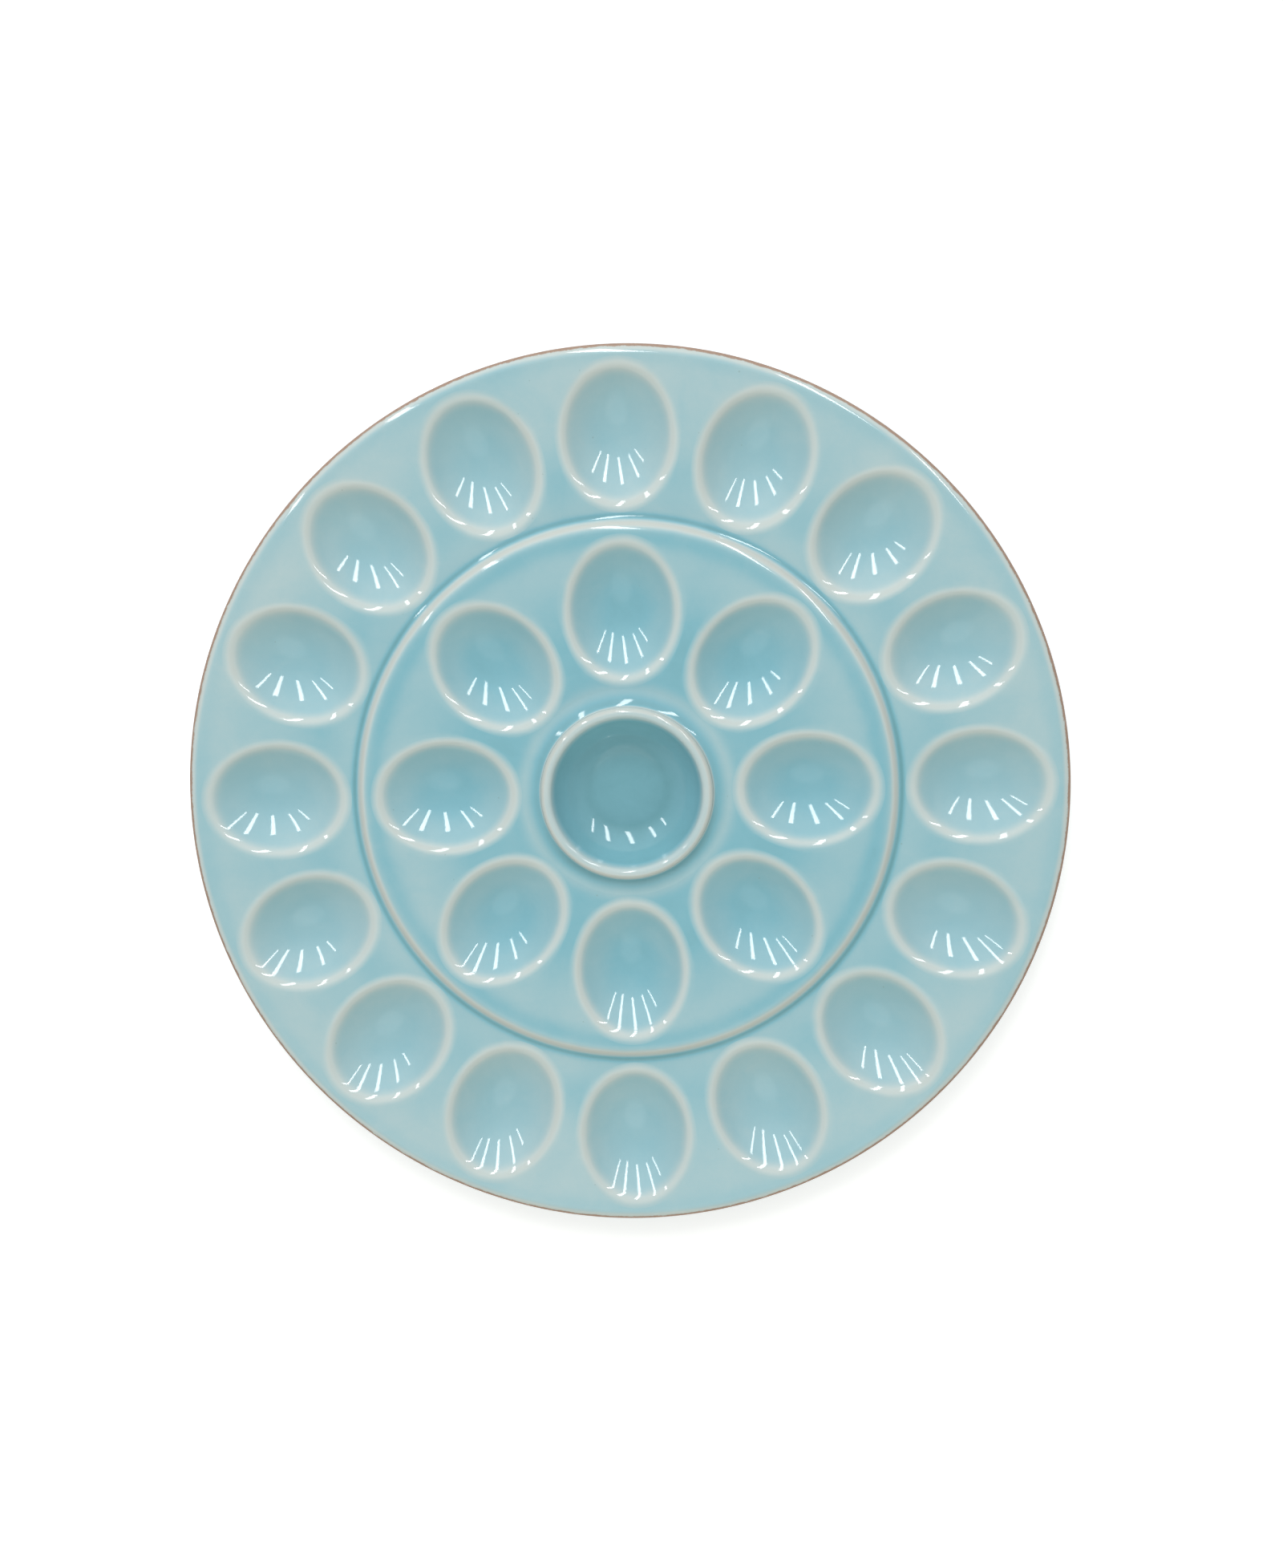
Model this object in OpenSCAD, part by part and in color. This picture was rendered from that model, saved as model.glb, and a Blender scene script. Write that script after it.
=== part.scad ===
// Round serving platter with two rings of egg wells round a raised dip cup.
// The platter is one piece of fired clay under a glaze. It is drawn as the regions it is
// formed from, which meet face to face: a wedge of deck for each well, the ridge between the
// rings, the rim, the foot under the ridge, and the cup. The middle of the foot's standing
// face is the origin.

/* [Egg wells] */
// Length of a well inside its rounded edge, along the platter's radius
well_l = 57.8; // [54:0.2:62]
// Width of a well inside its rounded edge
well_w = 46.7; // [43:0.1:49]
// Depth of a well below the deck
well_depth = 11.9; // [10.6:0.1:13.2]
// Shape of the bowl: 2 is a paraboloid, more gives a flatter floor and a steeper edge
bowl_shape = 2.1; // [1.8:0.05:2.5]
// Height that the rounded edge takes between the deck and the bowl
edge_fall = 1.85; // [1.2:0.05:2.1]
// Wells in the inner ring
inner_wells = 8; // [6:1:8]
// Wells in the outer ring
outer_wells = 16; // [13:1:16]

/* [Layout from the middle outwards] */
// Diameter of the cup's collar
collar_d = 79.2; // [74:0.2:86]
// Deck between the collar and the inner wells
collar_gap = 14.9; // [13.4:0.1:17.4]
// Deck between the inner wells and the pale shoulder of the ridge
ridge_gap_in = 10.6; // [10.4:0.1:13.4]
// Deck between the shoulder of the ridge and the outer wells
ridge_gap_out = 10.9; // [10.4:0.1:13.4]
// Deck between the outer wells and the edge of the platter
rim_gap = 11.6; // [11:0.1:15.4]

/* [Heights above the table] */
// Top of the inner deck, at the middle of its wells
inner_deck_z = 24.5; // [23.9:0.1:25.2]
// Top of the outer deck, at the middle of its wells
outer_deck_z = 22.7; // [22.1:0.1:23.4]
// Crest of the cup's collar
collar_z = 30; // [29:0.1:32]
// Middle of the cup's floor, inside
cup_floor_z = 11.6; // [11:0.1:13.5]

/* [Clay] */
// Thickness of the deck
deck_t = 5.5; // [4.5:0.1:6.5]
// Thickness of a well's floor
well_floor_t = 4.8; // [4:0.1:6]
// Thickness of the cup's wall
cup_wall = 5.2; // [4.5:0.1:6]
// Rise of the inner deck towards the ridge, in degrees
inner_slope = 1.5; // [0:0.1:2.5]
// Rise of the outer deck towards the rim, in degrees
outer_slope = 2; // [0:0.1:3]

/* [Foot] */
// Width of the foot's standing face
foot_w = 3.2; // [2.4:0.1:5]

/* [Hidden] */
$fn = 144;
WELL_DIGITS = 10;
MEET = 0.001;

// Each deck dips a little at its inner end, against the collar or the ridge
dip = 0.2;
dip_w = 7;

// Rounded edge of a well: it leaves the bowl at the bowl's own slope and runs out almost level
meet_angle = 5;
bowl_b = well_w / 2;
edge_slope = atan(bowl_shape * (well_depth - edge_fall) / bowl_b);
edge_r = edge_fall / (cos(meet_angle) - cos(edge_slope));
edge_b = bowl_b + edge_r * (sin(edge_slope) - sin(meet_angle));
stretch = well_l / well_w;

// The hollow is cut a little past the deck, at the slope of its edge, and up through the deck's rise
cut_over = 2.2;
cut_top = 3;

// Underside of a well, and the strip of deck past the bowl that goes with it
well_wall = 5;
under_b = bowl_b + well_wall;
under_top = 0.9;
under_shape = 3;
land_margin = 0.5;
land = edge_r * sin(edge_slope) * stretch + land_margin;

// Radii, from the middle outwards
collar_r = collar_d / 2;
inner_ring_r = collar_r + collar_gap + well_l / 2;
ridge_r = inner_ring_r + well_l / 2 + ridge_gap_in;
outer_ring_r = ridge_r + ridge_gap_out + well_l / 2;
platter_r = outer_ring_r + well_l / 2 + rim_gap;
inner_deck_from = inner_ring_r - well_l / 2 - land;
inner_deck_to = inner_ring_r + well_l / 2 + land;
outer_deck_from = outer_ring_r - well_l / 2 - land;
outer_deck_to = outer_ring_r + well_l / 2 + land;

// Ridge: a level top, a rounded shoulder and a fillet down to the outer deck
ridge_flat = 0.3;
shoulder_share = 0.6;

// Rim: the deck rounds over in a wide arc, then in a tight one to its undercut side
rim_break = 52;
rim_tight = 1.2;
rim_side_turn = 12;
rim_side_h = 2;
rim_under_in = 1.6;

// Foot: wider where it leaves the deck, with rounded edges at the table
foot_shoulder = 1.2;
foot_round = 1.0;
foot_r = (inner_deck_to + outer_deck_from) / 2;
foot_top_w = outer_deck_from - inner_deck_to - 2 * foot_shoulder;
foot_top_z = outer_top(outer_deck_from) - deck_t - foot_shoulder;

// Cup: a rounded collar over a bowl whose wall leans out, with a slightly hollow round floor
collar_round = 2.6;
collar_draft = 0.3;
collar_fillet = 2.0;
collar_ease = 0.35;
cup_lean = 21;
cup_floor_r = 18;
cup_floor_hollow = 0.4;
cup_floor_lean = 12.5;
cup_under_fillet = 3.5;
cup_under_turn = 8;

glaze_colour = [0.60, 0.79, 0.83];
pool_colour = [0.50, 0.72, 0.79];
break_colour = [0.80, 0.82, 0.80];
clay_colour = [0.66, 0.55, 0.49];

function well_name(ring, i) = str(ring, "_well_", i < WELL_DIGITS ? "0" : "", i);

// Points along an arc from angle a to angle b
function arc(centre, r, a, b, steps) =
    [for (i = [0:steps]) let (t = a + (b - a) * i / steps) centre + r * [cos(t), sin(t)]];

// Points along a curve that leaves p towards q and arrives at s from q
function curve(p, q, s, steps) =
    [for (i = [0:steps]) let (t = i / steps) (1 - t) * (1 - t) * p + 2 * t * (1 - t) * q + t * t * s];

// Half of a bowl's section, from its edge in to the axis: half width b, depth d below z
function bowl(b, d, z, shape, steps) =
    [for (i = [0:steps]) let (t = 1 - i / steps) [b * t, z - d * (1 - pow(t, shape))]];

function reversed(points) = [for (i = [len(points) - 1:-1:0]) points[i]];

// One outline from strokes that follow each other, without the points where two strokes meet twice
function outline(strokes) = let (all = [for (stroke = strokes) for (p = stroke) p])
    [for (i = [0:len(all) - 1]) if (i == 0 || norm(all[i] - all[i - 1]) > MEET) all[i]];

// Tops of the two decks along their slopes
function inner_top(r) = inner_deck_z + (r - inner_ring_r) * tan(inner_slope);
function outer_top(r) = outer_deck_z + (r - outer_ring_r) * tan(outer_slope);

// Section of a deck from one radius to another, dipped at its inner end
module deck_section(from, to, z_from, z_to) {
    rise = (z_to - z_from) / (to - from);
    polygon([
        [from, z_from - deck_t],
        [to, z_to - deck_t],
        [to, z_to],
        [from + dip_w, z_from + dip_w * rise],
        [from, z_from - dip]
    ]);
}

// Section of a well's hollow from the axis out: bowl, rounded edge and the way up through the deck
module hollow_section() {
    centre = [edge_b + edge_r * sin(meet_angle), -edge_r * cos(meet_angle)];
    polygon(outline([
        reversed(bowl(bowl_b, well_depth - edge_fall, -edge_fall, bowl_shape, 14)),
        arc(centre, edge_r, 90 + edge_slope, 90 + meet_angle, 8),
        [[edge_b + cut_over, cut_over * tan(meet_angle)], [edge_b + cut_over, cut_top], [0, cut_top]]
    ]));
}

// Section of the clay that hangs under a well
module under_section() {
    polygon(outline([
        [[0, -under_top]],
        bowl(under_b, well_depth + well_floor_t - under_top, -under_top, under_shape, 9)
    ]));
}

// A wedge of deck with one well, centred on +X
module well_wedge(count, ring_r, from, to, z_from, z_to) {
    wedge = 360 / count;
    slope = atan((z_to - z_from) / (to - from));
    difference() {
        union() {
            rotate_extrude(angle = wedge, start = -wedge / 2) deck_section(from, to, z_from, z_to);
            at_well(ring_r, z_from, z_to, slope) rotate_extrude() under_section();
        }
        at_well(ring_r, z_from, z_to, slope) rotate_extrude() hollow_section();
    }
}

// Puts a round shape at a well's middle, stretched along the radius and laid to the deck's slope
module at_well(ring_r, z_from, z_to, slope) {
    translate([ring_r, 0, (z_from + z_to) / 2]) rotate([0, -slope, 0]) scale([stretch, 1, 1]) children();
}

module inner_well(i) {
    color(glaze_colour) rotate([0, 0, 90 - (i - 1) * 360 / inner_wells])
        well_wedge(inner_wells, inner_ring_r, inner_deck_from, inner_deck_to,
            inner_top(inner_deck_from), inner_top(inner_deck_to));
}

module outer_well(i) {
    color(glaze_colour) rotate([0, 0, 90 - (i - 1) * 360 / outer_wells])
        well_wedge(outer_wells, outer_ring_r, outer_deck_from, outer_deck_to,
            outer_top(outer_deck_from), outer_top(outer_deck_to));
}

// Step between the two decks: level with the inner one, rounded over and filleted to the outer one
module divider_ridge() {
    inside = [inner_deck_to, inner_top(inner_deck_to)];
    outside = [outer_deck_from, outer_top(outer_deck_from) - dip];
    crest = inside + [ridge_flat, 0];
    step = outside - crest;
    // Both arcs turn by the same angle, so that the shoulder runs into the fillet
    turn = 2 * atan(-step[1] / step[0]);
    radii = step[0] / sin(turn);
    shoulder_r = radii * shoulder_share;
    fillet_r = radii - shoulder_r;
    color(break_colour) rotate_extrude() polygon(outline([
        [inside],
        arc(crest - [0, shoulder_r], shoulder_r, 90, 90 - turn, 7),
        arc(outside + [0, fillet_r], fillet_r, 270 - turn, 270, 6),
        [[outer_deck_from, outer_top(outer_deck_from) - deck_t]],
        [[foot_r + foot_top_w / 2, foot_top_z], [foot_r - foot_top_w / 2, foot_top_z]],
        [[inner_deck_to, inner_top(inner_deck_to) - deck_t]]
    ]));
}

// The ring that the platter stands on, under the ridge
module foot_ring() {
    color(clay_colour) rotate_extrude() polygon(outline([
        [[foot_r - foot_top_w / 2, foot_top_z]],
        arc([foot_r - foot_w / 2, foot_round], foot_round, 180, 270, 4),
        arc([foot_r + foot_w / 2, foot_round], foot_round, 270, 360, 4),
        [[foot_r + foot_top_w / 2, foot_top_z]]
    ]));
}

// Rounded edge of the platter, where the outer deck ends
module rim_edge() {
    inside = [outer_deck_to, outer_top(outer_deck_to)];
    under = inside - [0, deck_t];
    // The wide arc leaves the deck at its slope and reaches the tight one at the break
    wide = (platter_r - inside[0] - rim_tight * (1 - sin(rim_break))) / (sin(rim_break) + sin(outer_slope));
    wide_centre = inside + wide * [sin(outer_slope), -cos(outer_slope)];
    tight_centre = wide_centre + (wide - rim_tight) * [sin(rim_break), cos(rim_break)];
    side = [platter_r - rim_under_in, tight_centre[1] - rim_side_h];
    color(clay_colour) rotate_extrude() polygon(outline([
        arc(wide_centre, wide, 90 + outer_slope, 90 - rim_break, 6),
        arc(tight_centre, rim_tight, 90 - rim_break, -rim_side_turn, 5),
        curve(side, [side[0] - rim_under_in, under[1]], under, 4)
    ]));
}

// Dip cup with its raised collar and the bowl that hangs below the deck
module dip_cup() {
    edge = [inner_deck_from, inner_top(inner_deck_from) - dip];
    deck_under = inner_top(inner_deck_from) - deck_t;
    collar = arc([collar_r - collar_round, collar_z - collar_round], collar_round, 180 - cup_lean, 0, 12);
    collar_foot = [collar_r + collar_draft, edge[1] + dip + collar_fillet];
    floor_edge = [cup_floor_r, cup_floor_z + cup_floor_hollow];
    // The bowl's radius, so that it leaves the floor at its lean and meets the wall below the collar
    span = collar[0] - floor_edge;
    bowl_r = (span[0] - span[1] * tan(cup_lean))
        / (cos(cup_lean) - sin(cup_floor_lean) - (cos(cup_floor_lean) - sin(cup_lean)) * tan(cup_lean));
    bowl_centre = floor_edge + bowl_r * [-sin(cup_floor_lean), cos(cup_floor_lean)];
    under_r = bowl_r + cup_wall;
    // The underside leaves the bowl on a tangent and eases into the deck's underside
    leave = asin((deck_under - bowl_centre[1]) / under_r) - cup_under_turn;
    low = bowl_centre + under_r * [cos(leave), sin(leave)];
    turn = [low[0] - (deck_under - low[1]) * tan(leave), deck_under];
    color(pool_colour) rotate_extrude() polygon(outline([
        curve([0, cup_floor_z], [cup_floor_r / 2, cup_floor_z], floor_edge, 4),
        arc(bowl_centre, bowl_r, cup_floor_lean - 90, -cup_lean, 10),
        collar,
        curve(collar_foot, [collar_foot[0] + collar_draft, edge[1] + collar_ease], edge, 7),
        [[inner_deck_from, deck_under]],
        curve(turn + [cup_under_fillet, 0], turn, low, 4),
        arc(bowl_centre, under_r, leave, -90, 8),
        [[0, bowl_centre[1] - under_r]]
    ]));
}

dip_cup();
for (i = [1:inner_wells])
    inner_well(i);
divider_ridge();
foot_ring();
for (i = [1:outer_wells])
    outer_well(i);
rim_edge();
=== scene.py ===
import math

import bmesh
import bpy
import numpy as np
from mathutils import Matrix, Vector


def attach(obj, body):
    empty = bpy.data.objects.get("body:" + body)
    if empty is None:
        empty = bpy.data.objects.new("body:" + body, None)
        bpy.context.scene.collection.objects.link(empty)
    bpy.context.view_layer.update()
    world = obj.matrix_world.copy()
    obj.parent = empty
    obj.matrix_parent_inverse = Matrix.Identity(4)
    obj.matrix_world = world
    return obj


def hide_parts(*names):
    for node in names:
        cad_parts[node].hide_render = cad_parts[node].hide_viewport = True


bl_info = {
    "name": "Egg platter",
    "version": (1, 0, 0),
    "blender": (4, 5, 0),
    "location": "3D View > Sidebar > Platter",
    "description": "Builds a round glazed platter with two rings of egg wells round a dip cup",
    "category": "Add Mesh",
}

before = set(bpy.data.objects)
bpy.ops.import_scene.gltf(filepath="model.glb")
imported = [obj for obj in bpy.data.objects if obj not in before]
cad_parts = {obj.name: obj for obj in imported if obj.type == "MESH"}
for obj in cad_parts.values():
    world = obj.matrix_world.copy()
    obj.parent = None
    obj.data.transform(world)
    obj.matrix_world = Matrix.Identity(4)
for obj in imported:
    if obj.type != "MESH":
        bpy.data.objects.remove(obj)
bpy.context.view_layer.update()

MM = 0.001
TURN = 2 * math.pi

INNER_WELLS = 8
OUTER_WELLS = 16

# Steps round the platter at each seam, so that neighbouring pieces share every corner
CUP_STEPS = 192
RIDGE_STEPS = 384
RIM_STEPS = 512
# Steps along a wedge's side, and how much closer they stand at its ends
SIDE_STEPS = 20
SIDE_CROWDING = 0.7

# Points along the sections of the bowl, of its rounded edge and of the bump below it
BOWL_POINTS = 16
EDGE_POINTS = 11
BUMP_POINTS = 8
# Loops of the deck from the well's edge (0) to the wedge's edge (1), and on its underside back again
TOP_LOOPS = (0.12, 0.28, 0.46, 0.64, 0.80, 0.92, 0.98, 1.0)
UNDER_LOOPS = (0.0, 0.4, 0.75)
# The section of a wedge is drawn out to here, before its end is fitted to the wedge's edge
WEDGE_REACH = 40 * MM

# Slope at which the solid's rounded edge meets the deck, which sets its radius
MEET_SLOPE = math.radians(5)
# Share of the bump's half width at which its fillet to the deck starts
BUMP_END = 0.83
# Top of the bump's section, from the deck
BUMP_TOP = -0.9 * MM
# How much wider the bump's half section is than the bowl's
BUMP_MORE = 5 * MM
# Where the clay under the decks turns down into the foot
FOOT_INSET = 1.2 * MM

# Nearer than this, two points of an outline, two corners of a piece, or a reach and its limit are the same
SAME_POINT, SAME_CORNER, SAME_REACH = 0.002 * MM, 0.0005 * MM, 0.0001 * MM

# Faces that meet at a smaller angle are shaded as one
SMOOTH_ANGLE = math.radians(38)

# Glaze depths, from about -1 broken to 1 pooled
UNDERSIDE_GLAZE = 0.05
WELL_BAND_GLAZE = -0.70
RIDGE_CREST_GLAZE = -1.05
RIM_GLAZE = -0.75
# Depth in the middle of a ring's bowls, and how much less lies on their walls
INNER_BOWL_GLAZE = (0.48, 0.30)
OUTER_BOWL_GLAZE = (0.16, 0.18)


def length(name, text, default):
    return bpy.props.FloatProperty(
        name=name, description=text, default=default * MM, min=0.0, unit="LENGTH", precision=4)


def colour(name, text, default):
    return bpy.props.FloatVectorProperty(
        name=name, description=text, default=default, size=3, min=0.0, max=1.0, subtype="COLOR")


class PlatterSizes(bpy.types.PropertyGroup):
    well_l: length("Well length", "Inside the rounded edge, along the platter's radius", 57.8)
    well_w: length("Well width", "Inside the rounded edge, across the radius", 46.7)
    well_depth: length("Well depth", "Below the deck", 11.9)
    bowl_shape: bpy.props.FloatProperty(
        name="Bowl shape", description="2 is a paraboloid, more gives a flatter floor",
        default=2.1, min=1.8, max=2.5)
    edge_fall: length("Edge fall", "Height of the rounded edge between the deck and the bowl", 1.85)
    collar_d: length("Collar diameter", "Outside of the cup's collar", 79.2)
    collar_gap: length("Collar gap", "Deck from the collar to the inner wells", 14.9)
    ridge_gap_in: length("Ridge gap inside", "Deck from the inner wells to the ridge's shoulder", 10.6)
    ridge_gap_out: length("Ridge gap outside", "Deck from the ridge's shoulder to the outer wells", 10.9)
    rim_gap: length("Rim gap", "Deck from the outer wells to the platter's edge", 11.6)
    inner_deck_z: length("Inner deck height", "Top of the inner deck at the middle of its wells", 24.5)
    outer_deck_z: length("Outer deck height", "Top of the outer deck at the middle of its wells", 22.7)
    collar_z: length("Collar height", "Crest of the cup's collar", 30.0)
    cup_floor_z: length("Cup floor height", "Middle of the cup's floor", 11.6)
    deck_t: length("Deck thickness", "Clay of the deck", 5.5)
    well_floor_t: length("Well floor thickness", "Clay under a well", 4.8)
    cup_wall: length("Cup wall", "Clay of the cup", 5.2)
    inner_slope: bpy.props.FloatProperty(
        name="Inner slope", description="Rise of the inner deck towards the ridge",
        default=math.radians(1.5), min=0.0, max=math.radians(2.5), subtype="ANGLE")
    outer_slope: bpy.props.FloatProperty(
        name="Outer slope", description="Rise of the outer deck towards the rim",
        default=math.radians(2), min=0.0, max=math.radians(3), subtype="ANGLE")
    foot_w: length("Foot width", "Standing face of the foot", 3.2)


class GlazeLook(bpy.types.PropertyGroup):
    thin: colour("Thin glaze", "Cream where the glaze breaks over a tight edge", (0.545, 0.580, 0.545))
    pale: colour("Pale glaze", "Band on a rounded edge", (0.530, 0.610, 0.600))
    body: colour("Aqua glaze", "Even glaze on the decks", (0.330, 0.520, 0.565))
    pool: colour("Pooled glaze", "Bluer where the glaze lies thicker", (0.210, 0.455, 0.530))
    # deepest glaze blue, also made darker and greener as painted shade for the inside of the cup
    deep_glaze_and_shade: colour("Deep glaze", "Blue where the glaze ran together", (0.148, 0.350, 0.398))
    clay: colour("Clay", "Bare fired clay", (0.420, 0.300, 0.225))
    worn: colour("Worn edge", "Brown speckle on the rim", (0.270, 0.170, 0.125))
    gloss: bpy.props.FloatProperty(
        name="Glaze roughness", description="0 is a mirror",
        default=0.045, min=0.0, max=1.0, subtype="FACTOR")
    cloud: bpy.props.FloatProperty(
        name="Clouding", description="Uneven depth of the glaze",
        default=0.28, min=0.0, max=1.0, subtype="FACTOR")


class StageLook(bpy.types.PropertyGroup):
    floor: colour("Floor", "Pale floor under the platter", (0.80, 0.80, 0.80))
    lamp_radiance: bpy.props.FloatProperty(
        name="Lamp strength", description="Brightness of the strip lamps", default=14.0, min=0.0)
    key: bpy.props.FloatProperty(
        name="Key light", description="Light of the big soft lamp in the north, on the floor",
        default=0.31, min=0.0)
    fill: bpy.props.FloatProperty(
        name="Fill light", description="Light of the soft lamp low in the south, on the floor",
        default=0.13, min=0.0)
    room: bpy.props.FloatProperty(
        name="Room light", description="Brightness of the soft light all round",
        default=0.50, min=0.0)


# Shapes shared by several pieces

class Layout:
    """Radii and heights that follow from the sizes."""

    def __init__(self, s):
        self.s = s
        self.stretch = s.well_l / s.well_w
        self.bowl_b = s.well_w / 2
        self.edge_slope = math.atan(s.bowl_shape * (s.well_depth - s.edge_fall) / self.bowl_b)
        self.edge_r = s.edge_fall / (math.cos(MEET_SLOPE) - math.cos(self.edge_slope))
        self.edge_b = self.bowl_b + self.edge_r * math.sin(self.edge_slope)
        self.edge_z = -self.edge_r * (1 - math.cos(self.edge_slope))
        self.under_b = self.bowl_b + BUMP_MORE
        # deck between a well's hollow and each end of its wedge
        land = (self.edge_b - self.bowl_b) * self.stretch + 0.5 * MM
        self.collar_r = s.collar_d / 2
        self.inner_r = self.collar_r + s.collar_gap + s.well_l / 2
        self.ridge_r = self.inner_r + s.well_l / 2 + s.ridge_gap_in
        self.outer_r = self.ridge_r + s.ridge_gap_out + s.well_l / 2
        self.platter_r = self.outer_r + s.well_l / 2 + s.rim_gap
        self.inner_from = self.inner_r - s.well_l / 2 - land
        self.inner_to = self.inner_r + s.well_l / 2 + land
        self.outer_from = self.outer_r - s.well_l / 2 - land
        self.outer_to = self.outer_r + s.well_l / 2 + land
        # the decks dip a little to the seam at their inner end, where the glaze pools
        self.dip = 0.2 * MM
        self.dip_w = 7 * MM
        self.foot_r = (self.inner_to + self.outer_from) / 2
        self.foot_top_w = self.outer_from - self.inner_to - 2 * FOOT_INSET
        self.foot_top_z = self.outer_top(self.outer_from) - s.deck_t - FOOT_INSET

    def inner_top(self, r):
        return self.s.inner_deck_z + (r - self.inner_r) * math.tan(self.s.inner_slope)

    def outer_top(self, r):
        return self.s.outer_deck_z + (r - self.outer_r) * math.tan(self.s.outer_slope)

    def bowl_z(self, share):
        """Height of a bowl, from its deck, at a share of its half width."""
        return self.edge_z - (self.s.well_depth + self.edge_z) * (1 - share ** self.s.bowl_shape)

    def sag(self, r, start):
        """How far a deck dips towards the seam at its inner end, level again at the seam."""
        near = np.clip((r - start) / self.dip_w, 0, 1)
        return -self.dip * 0.5 * (1 + np.cos(math.pi * near))


def layout():
    return Layout(bpy.context.scene.platter_sizes)


def arc(centre, r, a, b, steps):
    """Points along an arc from angle a to angle b, in degrees."""
    out = []
    for i in range(steps + 1):
        t = math.radians(a + (b - a) * i / steps)
        out.append((centre[0] + r * math.cos(t), centre[1] + r * math.sin(t)))
    return out


def curve(p, q, s, steps):
    """Points along a curve that leaves p towards q and arrives at s from q."""
    out = []
    for i in range(steps + 1):
        t = i / steps
        out.append(tuple((1 - t) ** 2 * p[k] + 2 * t * (1 - t) * q[k] + t * t * s[k] for k in (0, 1)))
    return out


def ease(p, dp, s, ds, steps):
    """Points along a smooth curve from p with slope vector dp to s with slope vector ds."""
    out = []
    for i in range(steps + 1):
        t = i / steps
        there = 3 * t ** 2 - 2 * t ** 3
        leaving, arriving = t ** 3 - 2 * t ** 2 + t, t ** 3 - t ** 2
        out.append(tuple(
            (1 - there) * p[k] + leaving * dp[k] + there * s[k] + arriving * ds[k] for k in (0, 1)))
    return out


def joined(*strokes):
    """One outline from strokes that follow each other, without doubled points."""
    out = []
    for stroke in strokes:
        for p in stroke:
            if not out or math.dist(p, out[-1]) > SAME_POINT:
                out.append(p)
    return out


# Modelling steps

def deselect():
    if bpy.context.object and bpy.context.object.mode != "OBJECT":
        bpy.ops.object.mode_set(mode="OBJECT")
    bpy.ops.object.select_all(action="DESELECT")


def pick(piece):
    """Selects one piece alone, for the operators that follow."""
    deselect()
    piece.select_set(True)
    bpy.context.view_layer.objects.active = piece


def turned(name, outline, steps, closed):
    """Draws an outline point by point in the XZ plane and spins it round Z into a closed shell.

    A closed outline makes a ring, and an open one starts and ends on the axis.
    """
    deselect()
    bpy.ops.mesh.primitive_plane_add(size=MM, location=(0, 0, 0))
    piece = bpy.context.object
    piece.name = name
    piece.data.name = name
    bpy.ops.object.mode_set(mode="EDIT")
    bpy.ops.mesh.select_mode(type="VERT")
    bpy.ops.mesh.select_all(action="SELECT")
    bpy.ops.mesh.merge(type="CENTER")
    bpy.ops.transform.translate(value=(outline[0][0], 0, outline[0][1]))
    for a, b in zip(outline, outline[1:]):
        move = (b[0] - a[0], 0, b[1] - a[1])
        bpy.ops.mesh.extrude_region_move(TRANSFORM_OT_translate={"value": move})
    if closed:
        mesh = bmesh.from_edit_mesh(piece.data)
        mesh.verts.ensure_lookup_table()
        bpy.ops.mesh.select_all(action="DESELECT")
        mesh.verts[0].select = True
        mesh.verts[len(mesh.verts) - 1].select = True
        mesh.select_flush_mode()
        bmesh.update_edit_mesh(piece.data)
        bpy.ops.mesh.edge_face_add()
    bpy.ops.mesh.select_all(action="SELECT")
    bpy.ops.mesh.spin(steps=steps, angle=TURN, center=(0, 0, 0), axis=(0, 0, 1))
    bpy.ops.mesh.select_all(action="SELECT")
    bpy.ops.mesh.remove_doubles(threshold=SAME_CORNER)
    bpy.ops.mesh.normals_make_consistent(inside=False)
    bpy.ops.object.mode_set(mode="OBJECT")
    return piece


def points_of(piece):
    """Each point's place, and its distance from the Z axis."""
    co = np.empty(len(piece.data.vertices) * 3)
    piece.data.vertices.foreach_get("co", co)
    co = co.reshape(-1, 3)
    return co, np.hypot(co[:, 0], co[:, 1])


def move_points(piece, co):
    piece.data.vertices.foreach_set("co", co.ravel())
    piece.data.update()


def faced_out(piece):
    """Turns every face outwards, by the sign of the shell's volume."""
    mesh = bmesh.new()
    mesh.from_mesh(piece.data)
    if mesh.calc_volume(signed=True) < 0:
        bmesh.ops.reverse_faces(mesh, faces=mesh.faces)
    mesh.to_mesh(piece.data)
    mesh.free()


def smooth(piece):
    pick(piece)
    bpy.ops.object.shade_smooth_by_angle(angle=SMOOTH_ANGLE)


def paint(piece, depth, bare=None):
    """Writes each point's glaze depth, from -1 broken to 1 pooled, and how bare its clay is."""
    if bare is None:
        bare = np.zeros(len(depth))
    for name, values in (("glaze_depth", depth), ("bare_clay", bare)):
        attribute = piece.data.attributes.new(name, "FLOAT", "POINT")
        attribute.data.foreach_set("value", np.asarray(values, np.float32))


def finished(piece, slot, *nodes):
    """Glazes a piece, hangs it on the root body, and hides the nodes it stands for."""
    piece.data.materials.clear()
    piece.data.materials.append(glaze_material())
    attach(piece, "root")
    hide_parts(*nodes)


def bump(x, centre, width):
    """1 at the centre, and falls off on both sides."""
    return np.exp(-((x - centre) / width) ** 2)


def step(x, low, high):
    """Rises smoothly from 0 to 1 between two places."""
    t = np.clip((x - low) / (high - low), 0, 1)
    return t * t * (3 - 2 * t)


def blended(depth, other, share):
    """One glaze depth where the share is 0, the other where it is 1."""
    return depth * (1 - share) + other * share


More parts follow.
